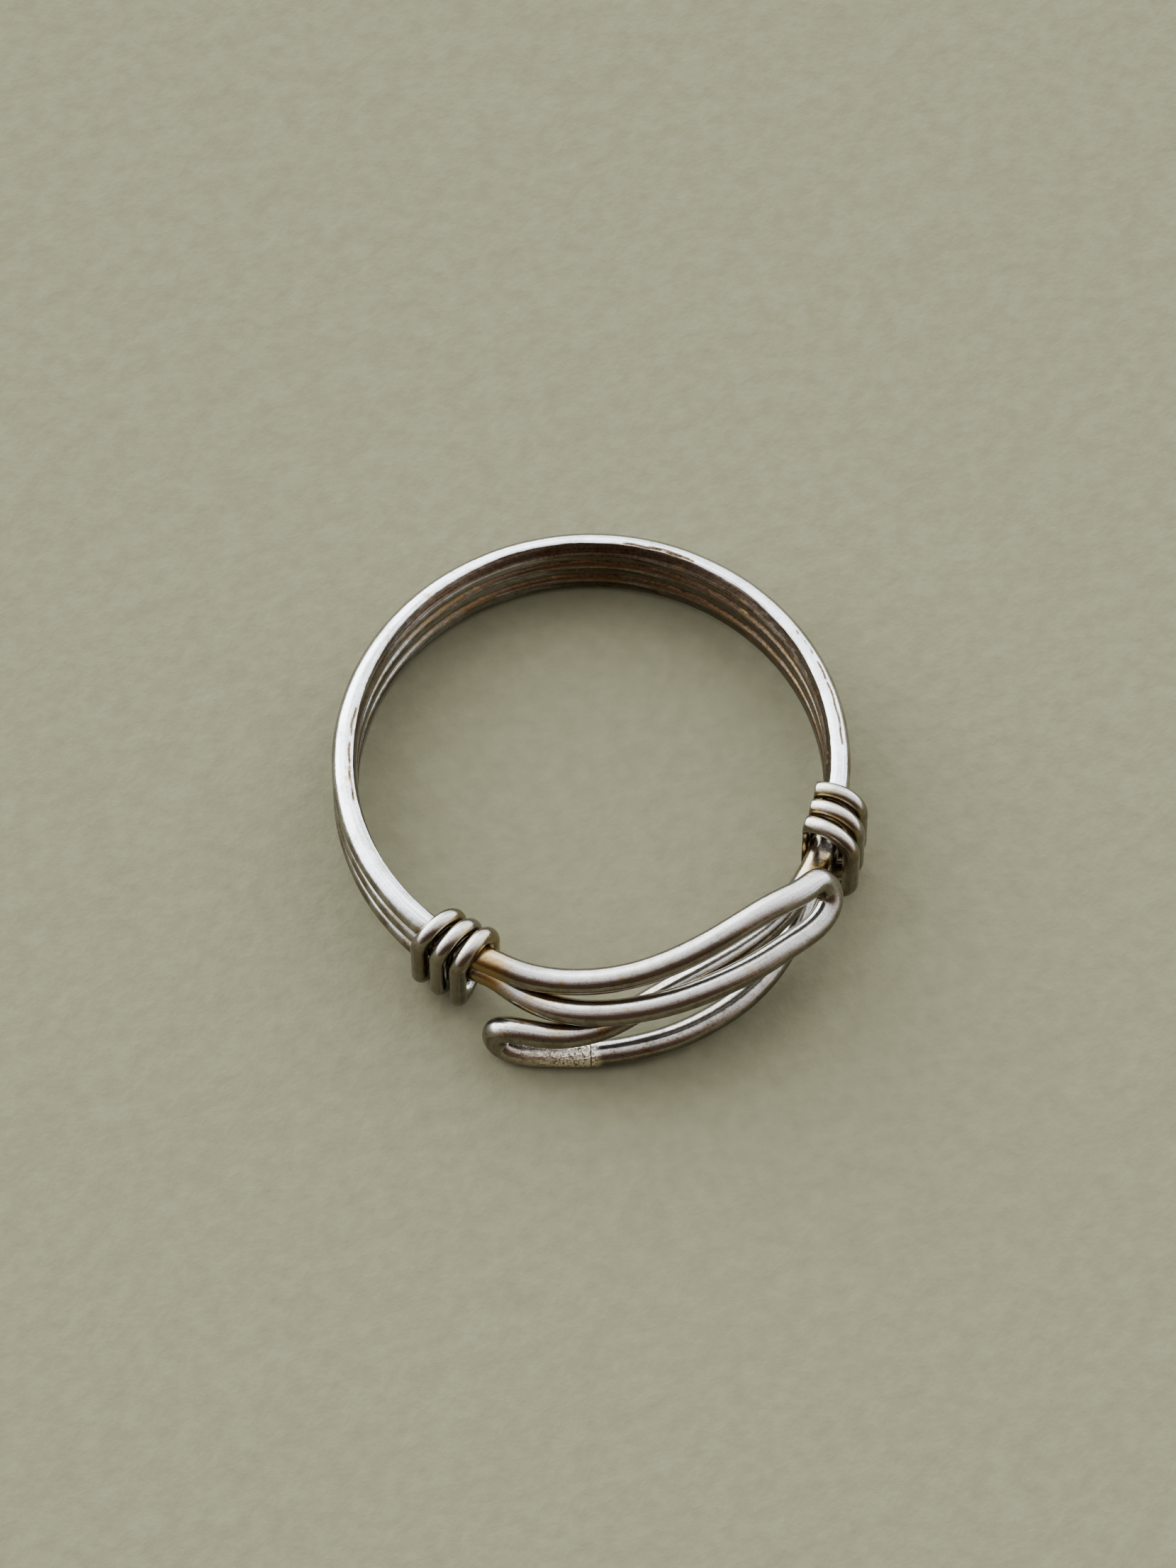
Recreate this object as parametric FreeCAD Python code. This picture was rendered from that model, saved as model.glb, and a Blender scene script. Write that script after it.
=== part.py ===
import FreeCAD, Part
import math
import os

# Wire-wrapped sterling silver finger ring, millimetres.
# +Z is the axis of the finger, the origin is the middle of the ring, and the
# decorated front faces -Y.  Three round wires lie one above the other round the
# back.  At the front two hairpin loops of the same wire pass each other: the
# upper one starts in the left binding and bends back beside the right binding,
# the lower one starts in the right binding and bends back beside the left one.
# The bindings are coils of thinner wire that hold the ends together.

# ---- driving dimensions -------------------------------------------------------
FINGER_DIAMETER = 17.35        # inside of the shank, US ring size 7
WIRE_DIAMETER = 1.0            # shank and loop wire
FILED_DEPTH = 0.06             # taken off the inner side of the shank wires
WIRE_GAP = 0.02                # solder film between neighbouring shank wires
BUTT_GAP = 0.05                # solder film between butted wire ends
BINDING_WIRE_DIAMETER = 0.64
BINDING_TURNS = 3
TURN_GAP = 0.14                # between neighbouring turns of a binding
LEFT_FRONT_TAIL = 0.20         # share of a turn that the left binding stops short at the front
LEFT_BACK_TAIL = 0.10          # share of a turn that it runs on past its last full turn at the back
RIGHT_FRONT_TAIL = 0.08        # share of a turn that the right binding stops short at the front
RIGHT_BACK_TAIL = 0.15         # the same at its back end
BINDING_CLEARANCE = 0.04       # between a binding and the wires inside it
BINDING_ANGLE = 53.2           # from the front centre to the middle of a binding
TOP_ADVANCE = 0.62             # share of the pitch gained where a turn crosses the top
RIGHT_SLACK_FRONT = 0.42       # how far the right binding stands off outside, beside the loops
RIGHT_SLACK_BACK = 0.12        # the same at its back end
RIGHT_END_SLACK = 0.04         # how far the right binding stands off above and below
RIGHT_INSIDE_THICKNESS = 0.22  # what filing for the finger left of the right binding
SEAM_SHARE = 0.39              # place of the solder seam along the lower loop, from its front end
SEAM_GAP = 0.02

# ---- values that follow from them -----------------------------------------------
WIRE_RADIUS = WIRE_DIAMETER / 2
SHANK_RADIUS = FINGER_DIAMETER / 2 + WIRE_RADIUS - FILED_DEPTH
LEVEL = WIRE_DIAMETER + WIRE_GAP
BINDING_WIRE_RADIUS = BINDING_WIRE_DIAMETER / 2
BINDING_PITCH = BINDING_WIRE_DIAMETER + TURN_GAP
BINDING_REACH = WIRE_RADIUS + BINDING_CLEARANCE + BINDING_WIRE_RADIUS
BINDING_HALF_ANGLE = math.degrees((BINDING_TURNS * BINDING_PITCH / 2 + BINDING_WIRE_RADIUS) / SHANK_RADIUS)
MOUTH_ANGLE = BINDING_ANGLE - BINDING_HALF_ANGLE
BUTT_ANGLE = math.degrees(BUTT_GAP / 2 / SHANK_RADIUS)

# ---- the loops ------------------------------------------------------------------
# Each point is (share of the mouth angle from the front centre, right positive,
# outward from the shank, height), the last two in wire diameters.
UPPER_FRONT_LEG = [
    (-0.87, 0.04, 0.93), (-0.68, 0.05, 0.90), (-0.48, 0.08, 1.10), (-0.23, 0.10, 1.45),
    (0.00, 0.10, 1.85), (0.23, 0.12, 2.20), (0.46, 0.24, 2.39), (0.59, 0.43, 2.36),
]
UPPER_BACK_LEG = [
    (0.56, 1.42, 0.92), (0.39, 1.30, 0.93), (0.16, 1.20, 0.88), (-0.07, 1.12, 0.68),
    (-0.27, 1.05, 0.48), (-0.48, 0.95, 0.28), (-0.68, 0.68, 0.05), (-0.87, 0.25, -0.05),
]
LOWER_FRONT_LEG = [
    (0.87, 0.12, -1.20), (0.71, 0.35, -1.50), (0.45, 0.75, -1.85), (0.18, 1.05, -1.95),
    (-0.07, 1.25, -2.00), (-0.27, 1.35, -2.05), (-0.48, 1.45, -2.08), (-0.66, 1.55, -2.08),
]
LOWER_BACK_LEG = [
    (-0.65, 1.47, -0.72), (-0.42, 1.07, -0.68), (-0.18, 0.45, -0.36), (0.04, 0.20, 0.08),
    (0.27, 0.10, 0.22), (0.52, 0.05, 0.10), (0.87, 0.00, 0.00),
]
# Each bend is a half circle: (share, outward, height, radius, lean), lean in degrees
# from upright, lengths in wire diameters.
UPPER_BEND = (0.745, 1.14, 1.53, 0.76, -32.0)
LOWER_BEND = (-0.815, 1.62, -1.38, 0.73, 176.0)
BEND_STEPS = 4
BINDING_STEPS = 32              # route points in one turn of a binding


def place(angle, outward, height):
    """Point at an angle from the front centre, right positive, outward from the shank wire."""
    turn = math.radians(angle - 90.0)
    radius = SHANK_RADIUS + outward
    return FreeCAD.Vector(radius * math.cos(turn), radius * math.sin(turn), height)


def leg_points(points):
    """Route points of a leg, worked out from shares and wire diameters."""
    return [
        place(share * MOUTH_ANGLE, outward * WIRE_DIAMETER, height * WIRE_DIAMETER)
        for share, outward, height in points
    ]


def bend_points(bend, direction):
    """Half circle from one leg of a loop to the other, its apex along the ring."""
    share, outward, height, radius, lean = bend
    lean = math.radians(lean)
    points = []
    for step in range(BEND_STEPS + 1):
        swing = math.pi * step / BEND_STEPS
        across = radius * math.cos(swing)
        along = radius * math.sin(swing) * WIRE_DIAMETER
        out = (outward + across * math.sin(lean)) * WIRE_DIAMETER
        up = (height + across * math.cos(lean)) * WIRE_DIAMETER
        angle = share * MOUTH_ANGLE + direction * math.degrees(along / (SHANK_RADIUS + out))
        points.append(place(angle, out, up))
    return points


def bound_points(side, level, inward):
    """The straight end of a leg inside a binding, from the mouth inward or outward again."""
    end = BINDING_ANGLE - BUTT_ANGLE
    angles = [MOUTH_ANGLE, (MOUTH_ANGLE + end) / 2, end]
    if not inward:
        angles.reverse()
    return [place(side * angle, 0.0, level * LEVEL) for angle in angles]


def route(points):
    """Smooth curve through the points."""
    curve = Part.BSplineCurve()
    curve.interpolate(points)
    return curve


def tube(curve, first, last, radius, binormal=None):
    """Round wire along a part of a curve, as one solid, with its section kept to a binormal if given."""
    sweep = Part.BRepOffsetAPI.MakePipeShell(Part.Wire([curve.toShape(first, last)]))
    if binormal:
        sweep.setBiNormalMode(binormal)
    else:
        sweep.setFrenetMode(True)
    sweep.add(Part.Wire([Part.makeCircle(radius, curve.value(first), curve.tangent(first)[0])]))
    sweep.build()
    sweep.makeSolid()
    return sweep.shape()


def shank_wire(level):
    """Part of a torus round the back of the ring, filed inside to the finger size."""
    start = BINDING_ANGLE + BUTT_ANGLE
    centre = place(start, 0.0, level * LEVEL)
    along = place(start + 90.0, 0.0, 0.0)
    disc = Part.Face(Part.Wire([Part.makeCircle(WIRE_RADIUS, centre, along)]))
    wire = disc.revolve(FreeCAD.Vector(0, 0, 0), FreeCAD.Vector(0, 0, 1), 360.0 - 2 * start)
    return wire.cut(finger_space(FINGER_DIAMETER / 2))


def finger_space(radius):
    """Cylinder on the finger axis, longer than the ring is high."""
    reach = 4 * LEVEL
    return Part.makeCylinder(radius, 2 * reach, FreeCAD.Vector(0, 0, -reach))


def upper_loop():
    """Hairpin loop held by the left binding, on the top and middle levels."""
    points = bound_points(-1, 1, False) + leg_points(UPPER_FRONT_LEG)
    points += bend_points(UPPER_BEND, 1) + leg_points(UPPER_BACK_LEG)
    points += bound_points(-1, 0, True)
    curve = route(points)
    return tube(curve, curve.FirstParameter, curve.LastParameter, WIRE_RADIUS)


def lower_loop():
    """Hairpin loop held by the right binding: its front leg and its hairpin, soldered end to end."""
    points = bound_points(1, -1, False) + leg_points(LOWER_FRONT_LEG)
    points += bend_points(LOWER_BEND, -1) + leg_points(LOWER_BACK_LEG)
    points += bound_points(1, 0, True)
    curve = route(points)
    seam = curve.length() * SEAM_SHARE
    before = curve.parameterAtDistance(seam - SEAM_GAP / 2, curve.FirstParameter)
    after = curve.parameterAtDistance(seam + SEAM_GAP / 2, curve.FirstParameter)
    leg = tube(curve, curve.FirstParameter, before, WIRE_RADIUS)
    hairpin = tube(curve, after, curve.LastParameter, WIRE_RADIUS)
    return leg, hairpin


def turn_place(share, outside, rise):
    """Outward offset, height and gained share of the pitch at a share of one binding turn.

    A turn starts in the middle of the underside, climbs the outside, crosses the top
    and comes down the inside.  Its ends are half ellipses round the outer wires.
    """
    middle = (outside - BINDING_REACH) / 2
    half_width = (outside + BINDING_REACH) / 2
    end_length = math.pi * (half_width + rise) / 2
    side_length = 2 * LEVEL
    bottom_advance = (1 - TOP_ADVANCE) / 2
    travel = share * 2 * (end_length + side_length)
    if travel < end_length / 2:
        part = travel / end_length
        swing = math.pi * (part - 0.5)
        height = -LEVEL + rise * math.sin(swing)
        return middle + half_width * math.cos(swing), height, 2 * part * bottom_advance
    travel -= end_length / 2
    if travel < side_length:
        return outside, -LEVEL + travel, bottom_advance
    travel -= side_length
    if travel < end_length:
        part = travel / end_length
        swing = math.pi * part
        height = LEVEL + rise * math.sin(swing)
        return middle + half_width * math.cos(swing), height, bottom_advance + TOP_ADVANCE * part
    travel -= end_length
    if travel < side_length:
        return -BINDING_REACH, LEVEL - travel, bottom_advance + TOP_ADVANCE
    part = (travel - side_length) / end_length
    swing = math.pi * (1 + part)
    height = -LEVEL + rise * math.sin(swing)
    return middle + half_width * math.cos(swing), height, bottom_advance + TOP_ADVANCE + 2 * part * bottom_advance


def binding(side, first, last, first_slack, last_slack, end_slack):
    """Coil of thin wire round the three wires, from one count of turns to another."""
    steps = round((last - first) * BINDING_STEPS)
    points = []
    for step in range(steps + 1):
        done = step / steps
        turns = first + (last - first) * done
        whole = math.floor(turns)
        outside = BINDING_REACH + first_slack + (last_slack - first_slack) * done
        out, height, gained = turn_place(turns - whole, outside, BINDING_REACH + end_slack)
        along = (whole + gained - BINDING_TURNS / 2) * BINDING_PITCH
        angle = side * BINDING_ANGLE + math.degrees(along / SHANK_RADIUS)
        points.append(place(angle, out, height))
    curve = route(points)
    axis = place(side * BINDING_ANGLE + 90.0, 0.0, 0.0)
    return tube(curve, curve.FirstParameter, curve.LastParameter, BINDING_WIRE_RADIUS, axis)


def left_binding():
    """Tight coil on the left, its ends tucked against the inside."""
    return binding(-1, -LEFT_BACK_TAIL, BINDING_TURNS - LEFT_FRONT_TAIL, 0.0, 0.0, 0.0)


def right_binding():
    """Looser coil on the right, filed nearly flush where the finger goes."""
    coil = binding(1, RIGHT_FRONT_TAIL, BINDING_TURNS - RIGHT_BACK_TAIL, RIGHT_SLACK_FRONT,
                   RIGHT_SLACK_BACK, RIGHT_END_SLACK)
    return coil.cut(finger_space(SHANK_RADIUS - WIRE_RADIUS - RIGHT_INSIDE_THICKNESS))


def build():
    """All pieces by node name."""
    leg, hairpin = lower_loop()
    return {
        "shank_wire_top": shank_wire(1),
        "shank_wire_middle": shank_wire(0),
        "shank_wire_bottom": shank_wire(-1),
        "upper_loop": upper_loop(),
        "lower_loop_leg": leg,
        "lower_loop_hairpin": hairpin,
        "left_binding": left_binding(),
        "right_binding": right_binding(),
    }


os.makedirs("parts", exist_ok=True)
for name, shape in build().items():
    shape.exportStep("parts/" + name + ".step")
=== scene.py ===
"""Dressed model of a wire-wrapped sterling silver finger ring.

Three round shank wires lie one above the other round the back of the finger.  At the
front two hairpin loops of the same wire pass each other, and two coils of thinner
wire bind the ends.  Every wire is drawn again here over its plain solid, with the
marks of the maker's tools and of wear, with shade painted into its colour where wires
meet, on the undersides and on the inside of the shank, and rides on the same body as that solid.
"""

import logging
import math
from dataclasses import dataclass, field
from enum import Enum

import bpy
import numpy as np
from mathutils import Matrix, Vector


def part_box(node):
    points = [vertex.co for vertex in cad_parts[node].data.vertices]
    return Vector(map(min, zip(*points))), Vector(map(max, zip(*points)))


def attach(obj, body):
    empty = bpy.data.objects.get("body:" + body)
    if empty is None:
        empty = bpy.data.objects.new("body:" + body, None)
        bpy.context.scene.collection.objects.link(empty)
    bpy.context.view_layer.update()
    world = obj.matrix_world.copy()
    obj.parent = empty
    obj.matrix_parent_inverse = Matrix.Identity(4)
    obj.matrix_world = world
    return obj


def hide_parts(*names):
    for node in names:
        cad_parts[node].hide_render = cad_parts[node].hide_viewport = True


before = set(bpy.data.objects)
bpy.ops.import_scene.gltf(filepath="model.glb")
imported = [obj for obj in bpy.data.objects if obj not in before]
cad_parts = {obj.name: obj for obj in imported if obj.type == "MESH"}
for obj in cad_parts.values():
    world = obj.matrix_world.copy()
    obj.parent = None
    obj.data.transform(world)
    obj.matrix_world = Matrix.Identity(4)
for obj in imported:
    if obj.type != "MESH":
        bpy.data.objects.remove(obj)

LOG = logging.getLogger("ring")
MM = 0.001
FAR = 1.0  # metres, further than any two wires of a ring are apart

# Centre line and radius of a wire, as its neighbours see it.
Wire = tuple[np.ndarray, float]
# A place on a loop: share of the mouth angle, outward and height in wire diameters.
Place = tuple[float, float, float]
# Outputs of a node tree, by the mark or pattern that they carry.
Sockets = dict[str, bpy.types.NodeSocket]


class Body(Enum):
    """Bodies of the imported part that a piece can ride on."""

    RING = "ring"
    LEFT_WRAP = "left_wrap"
    RIGHT_WRAP = "right_wrap"


class Slot(Enum):
    """Material slots of the record."""

    WORN = "worn_silver"
    BRIGHT = "bright_silver"


class Side(Enum):
    """Side of the ring a binding is on, seen from the front."""

    LEFT = -1
    RIGHT = 1


# ---- measures -------------------------------------------------------------------


@dataclass(frozen=True)
class RingMeasures:
    """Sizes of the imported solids, in metres, that everything here is drawn to."""

    wire_radius: float
    shank_radius: float
    finger_radius: float
    level: float
    binding_angle: float = 53.2
    butt_angle: float = 0.16
    mouth_angle: float = 43.83
    filed_depth: float = 0.06 * MM

    @classmethod
    def from_frame(cls) -> "RingMeasures":
        """Read the sizes off the boxes of the three shank wires.

        Returns:
            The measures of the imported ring.
        """
        low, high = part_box("shank_wire_top")
        middle_low, middle_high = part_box("shank_wire_middle")
        wire_radius = (high.z - low.z) / 2
        shank_radius = (high.x - low.x) / 2 - wire_radius
        finger_radius = shank_radius - wire_radius + cls.filed_depth
        level = (high.z + low.z) / 2 - (middle_high.z + middle_low.z) / 2
        return cls(wire_radius, shank_radius, finger_radius, level)

    def place(self, angle: float, outward: float, height: float) -> np.ndarray:
        """Point at an angle from the front centre, outward from the shank wire.

        Args:
            angle: Degrees from the front centre, right positive.
            outward: Metres outward from the centre line of the shank.
            height: Metres above the middle wire.

        Returns:
            The point, in metres.
        """
        turn = math.radians(angle - 90.0)
        radius = self.shank_radius + outward
        return np.array([radius * math.cos(turn), radius * math.sin(turn), height])


# ---- curves and meshes ----------------------------------------------------------


def smooth_line(points: np.ndarray, step: float) -> np.ndarray:
    """Even points on the smooth curve that passes through given points.

    Args:
        points: The points to pass through, one row each.
        step: Wanted spacing of the result, in metres.

    Returns:
        Points on the curve, one row each.
    """
    spans = np.linalg.norm(np.diff(points, axis=0), axis=1)
    knots = np.concatenate([[0.0], np.cumsum(spans)])
    rates = np.diff(points, axis=0) / spans[:, None]
    count = len(points)
    fine_steps = 40
    system = np.zeros((count, count))
    right = np.zeros_like(points)
    system[0, 0] = system[-1, -1] = 1.0
    right[0] = end_slope(knots[:4], points[:4], knots[0])
    right[-1] = end_slope(knots[-4:], points[-4:], knots[-1])
    for i in range(1, count - 1):
        system[i, i - 1:i + 2] = spans[i], 2 * (spans[i - 1] + spans[i]), spans[i - 1]
        right[i] = 3 * (spans[i] * rates[i - 1] + spans[i - 1] * rates[i])
    slopes = np.linalg.solve(system, right)
    fine = np.linspace(0.0, knots[-1], fine_steps * count)
    span = np.clip(np.searchsorted(knots, fine, side="right") - 1, 0, count - 2)
    width = spans[span][:, None]
    part = (fine - knots[span])[:, None] / width
    line = (points[span] * (1 + 2 * part) * (1 - part) ** 2
            + slopes[span] * width * part * (1 - part) ** 2
            + points[span + 1] * part ** 2 * (3 - 2 * part)
            + slopes[span + 1] * width * part ** 2 * (part - 1))
    return even_line(line, step)


def end_slope(knots: np.ndarray, points: np.ndarray, at: float) -> np.ndarray:
    """Slope at an end of a curve, from the cubic through its four nearest points."""
    return np.array([np.polyval(np.polyder(np.polyfit(knots - at, points[:, axis], 3)), 0.0)
                     for axis in range(3)])


def even_line(line: np.ndarray, step: float) -> np.ndarray:
    """The same line with evenly spaced points.

    Args:
        line: Points on the line, one row each.
        step: Wanted spacing, in metres.

    Returns:
        The new points, one row each.
    """
    length = line_length(line)[-1]
    count = max(int(round(length / step)), 8) + 1
    return points_at(line, np.linspace(0.0, length, count))


def line_length(line: np.ndarray) -> np.ndarray:
    """Length from the start of a line to each of its points."""
    return np.concatenate([[0.0], np.cumsum(np.linalg.norm(np.diff(line, axis=0), axis=1))])


def points_at(line: np.ndarray, places: np.ndarray) -> np.ndarray:
    """Points of a line at the given lengths from its start."""
    length = line_length(line)
    return np.stack([np.interp(places, length, line[:, axis]) for axis in range(3)], axis=1)


def unit(rows: np.ndarray) -> np.ndarray:
    """Rows scaled to length one."""
    return rows / np.linalg.norm(rows, axis=-1, keepdims=True)


def smooth_step(values: np.ndarray, low: float, high: float) -> np.ndarray:
    """Values turned smoothly from 0 at the low end to 1 at the high end."""
    share = np.clip((values - low) / (high - low), 0.0, 1.0)
    return share * share * (3.0 - 2.0 * share)


def ripple(coords: np.ndarray, wavelength: float, seed: int) -> np.ndarray:
    """Smooth seeded unevenness between 0 and 1.

    Args:
        coords: Places to work it out at, one row each, in metres.
        wavelength: Typical spacing of the bumps, in metres.
        seed: Seed of the unevenness.

    Returns:
        One value for each row.
    """
    generator = np.random.default_rng(seed)
    waves = 9
    total = np.zeros(len(coords))
    for _ in range(waves):
        direction = unit(generator.normal(size=coords.shape[1]))
        turns = coords @ direction * generator.uniform(0.6, 1.6) / wavelength
        total += np.sin(2 * math.pi * (turns + generator.uniform()))
    return 0.5 + 0.5 * np.tanh(total / math.sqrt(waves))


@dataclass
class WireTube:
    """A length of round wire, drawn as a dense tube with rounded ends.

    Its marks are values between 0 and 1 at each vertex, which its finish reads.
    """

    name: str
    line: np.ndarray
    radius: float
    sides: int = 48
    seed: int = 1
    unevenness: float = 0.010 * MM
    end_round: float = 0.10 * MM
    dent_size: float = 2.6 * MM
    filed_fade: float = 0.02 * MM
    shaved_fade: float = 0.01 * MM
    crease_reach: float = 0.10 * MM
    shelter_reach: float = 0.55 * MM
    vertices: np.ndarray = field(init=False)
    outward: np.ndarray = field(init=False)
    along: np.ndarray = field(init=False)
    around: np.ndarray = field(init=False)
    rings: int = field(init=False)
    marks: dict[str, np.ndarray] = field(init=False, default_factory=dict)

    def __post_init__(self) -> None:
        """Work out the vertices of the tube."""
        line, scale = self._rounded_ends()
        normals, sideways = self._frames(line)
        self.rings = len(line)
        angles = np.linspace(0.0, 2 * math.pi, self.sides, endpoint=False)
        outward = (normals[:, None] * np.cos(angles)[None, :, None]
                   + sideways[:, None] * np.sin(angles)[None, :, None])
        self.outward = outward.reshape(-1, 3)
        self.along = np.repeat(line_length(line), self.sides)
        circle = np.column_stack([np.cos(angles), np.sin(angles)]) * self.radius
        self.around = np.tile(circle, (self.rings, 1))
        centres = np.repeat(line, self.sides, axis=0)
        reach = np.repeat(scale, self.sides) * self.radius
        surface = centres + self.outward * self.radius
        dents = self.unevenness * ripple(surface, self.dent_size, self.seed)
        self.vertices = centres + self.outward * np.maximum(reach - dents, 0.0)[:, None]

    def _rounded_ends(self) -> tuple[np.ndarray, np.ndarray]:
        """Round the ends of the wire over.

        Returns:
            The line with extra points near its ends, and the share of the radius at each point.
        """
        steps = 5
        clear = 1.3
        length = line_length(self.line)
        swing = np.linspace(0.0, math.pi / 2, steps)
        start = self.end_round * (1 - np.cos(swing))
        margin = start[-1] * clear
        inner = length[(length > margin) & (length < length[-1] - margin)]
        places = np.concatenate([start, inner, length[-1] - start[::-1]])
        low = 1 - self.end_round / self.radius
        rounding = low + (1 - low) * np.sin(swing)
        scale = np.concatenate([rounding, np.ones(len(inner)), rounding[::-1]])
        return points_at(self.line, places), scale

    @staticmethod
    def _frames(line: np.ndarray) -> tuple[np.ndarray, np.ndarray]:
        """Two directions across the line that turn as little as they can along it.

        Args:
            line: Points on the line, one row each.

        Returns:
            The two directions at each point.
        """
        tangents = unit(np.gradient(line, axis=0))
        first = np.cross(tangents[0], [0.0, 0.0, 1.0])
        if np.linalg.norm(first) < 0.1:
            first = np.cross(tangents[0], [1.0, 0.0, 0.0])
        normals = [unit(first)]
        for tangent in tangents[1:]:
            normals.append(unit(normals[-1] - tangent * (normals[-1] @ tangent)))
        stacked = np.array(normals)
        return stacked, np.cross(tangents, stacked)

    def mark(self, name: str) -> np.ndarray:
        """Values of a mark, all zero where the wire hasn't got it."""
        return self.marks.get(name, np.zeros(len(self.vertices)))

    def add_mark(self, name: str, values: np.ndarray) -> None:
        """Raise a mark to the given values where they are higher."""
        self.marks[name] = np.maximum(self.mark(name), values)

    def press_outside(self, radius: float, mark: str) -> None:
        """File away whatever lies inside a cylinder on the finger axis.

        Args:
            radius: Radius of the cylinder, in metres.
            mark: Name of the mark that says where metal was taken off.
        """
        across = np.linalg.norm(self.vertices[:, :2], axis=1)
        inside = across < radius
        self.vertices[inside, :2] *= (radius / across[inside])[:, None]
        filed = (radius + self.filed_fade - across) / self.filed_fade
        self.add_mark(mark, np.clip(filed, 0.0, 1.0))

    def shave(self, normals: np.ndarray, offsets: np.ndarray, mark: str) -> None:
        """Take off whatever stands beyond a plane, one plane for each vertex.

        Args:
            normals: Unit normal of each vertex's plane.
            offsets: Distance of each plane from the origin, along its normal.
            mark: Name of the mark that says where metal was taken off.
        """
        beyond = np.einsum("ij,ij->i", self.vertices, normals) - offsets
        self.vertices -= normals * np.maximum(beyond, 0.0)[:, None]
        self.add_mark(mark, np.clip(beyond / self.shaved_fade + 0.5, 0.0, 1.0))

    def mark_mouth(self, side: Side, angle: float) -> None:
        """Mark the last millimetre or so before a binding, where a cloth can't reach.

        Args:
            side: Side of the ring the binding is on.
            angle: Place of the binding's mouth, in degrees from the front centre.
        """
        off = side.value * ((self.turn() + 180.0) % 360.0 - 180.0)
        # Full from 1 degree before the mouth to 2.5 degrees past it.
        outside = smooth_step(off, angle - 8.0, angle - 1.0)
        inside = smooth_step(-off, -angle - 5.0, -angle - 2.5)
        self.marks["mouth"] = outside * inside

    def turn(self) -> np.ndarray:
        """Place of each vertex round the finger, in degrees from the front centre."""
        x, y = self.vertices[:, 0], self.vertices[:, 1]
        return np.mod(np.degrees(np.arctan2(y, x)) + 90.0, 360.0)

    def mark_creases(self, wires: list[Wire], own_skip: float) -> None:
        """Mark where the surface comes close to other wires, or to the wire's own far turns.

        Args:
            wires: The other wires.
            own_skip: Length of its own wire, each way, that doesn't count.
        """
        spacing = 0.14 * MM
        gap = np.full(len(self.vertices), FAR)
        for line, radius in wires:
            gap = np.minimum(gap, self._gap_to(even_line(line, spacing), radius))
        own = even_line(self.line, spacing)
        gap = np.minimum(gap, self._gap_to(own, self.radius, line_length(own), own_skip))
        # Closeness to other wires; the finish turns it into gold patina and into painted shade.
        self.marks["crease"] = np.exp(-gap / self.crease_reach)
        self.marks["shelter"] = np.exp(-gap / self.shelter_reach)
        # A cloth reaches what faces up, and rubs nothing that faces sideways or down; this mark
        # also paints shade on the sides and undersides, which face away from the light.
        self.marks["unrubbed_and_shaded"] = np.clip((0.74 - self.outward[:, 2]) / 0.5, 0.0, 1.0)

    def _gap_to(self, line: np.ndarray, radius: float, places: np.ndarray | None = None,
                skip: float = 0.0) -> np.ndarray:
        """Distance from each vertex to the surface of a wire.

        Args:
            line: Centre line of the wire.
            radius: Radius of the wire.
            places: Length at each point of the line if it is this wire's own, or None.
            skip: Length each way that doesn't count on this wire's own line.

        Returns:
            One distance for each vertex, never below zero.
        """
        found = np.empty(len(self.vertices))
        at_once = 4000
        for start in range(0, len(self.vertices), at_once):
            part = slice(start, start + at_once)
            apart = np.linalg.norm(self.vertices[part, None] - line[None], axis=2)
            if places is not None:
                apart[np.abs(self.along[part, None] - places[None]) < skip] = FAR
            found[part] = apart.min(axis=1) - radius
        return np.maximum(found, 0.0)

    def scratch(self, angles: tuple[float, float], tilt: float, width: float,
                depth: float) -> None:
        """Cut a groove along the wire.

        Args:
            angles: Place of its ends, in degrees from the front centre.
            tilt: Degrees that it lies from the top of the wire toward the finger.
            width: Its width, in metres.
            depth: Its depth, in metres.
        """
        turn = self.turn()
        inward = -unit(self.vertices[:, :2])
        lean, lift = math.sin(math.radians(tilt)), math.cos(math.radians(tilt))
        aim = np.column_stack([inward * lean, np.full(len(inward), lift)])
        wander = 0.20 * width * np.sin(turn * 0.9 + tilt)
        off = np.arccos(np.clip(np.einsum("ij,ij->i", self.outward, aim), -1.0, 1.0)) * self.radius
        sideways = np.sign(np.einsum("ij,ij->i", self.outward[:, :2], inward) - lean)
        across = np.abs(off * sideways - wander) / (width / 2)
        inside = np.clip((turn - angles[0]) * 2, 0, 1) * np.clip((angles[1] - turn) * 2, 0, 1)
        broken = smooth_step(ripple(self.vertices, 0.6 * MM, 7), 0.05, 0.45)
        cut = np.clip(1.4 - across, 0.0, 1.0) * inside * broken
        self.vertices -= self.outward * (cut * depth)[:, None]
        self.add_mark("cut", cut)

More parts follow.
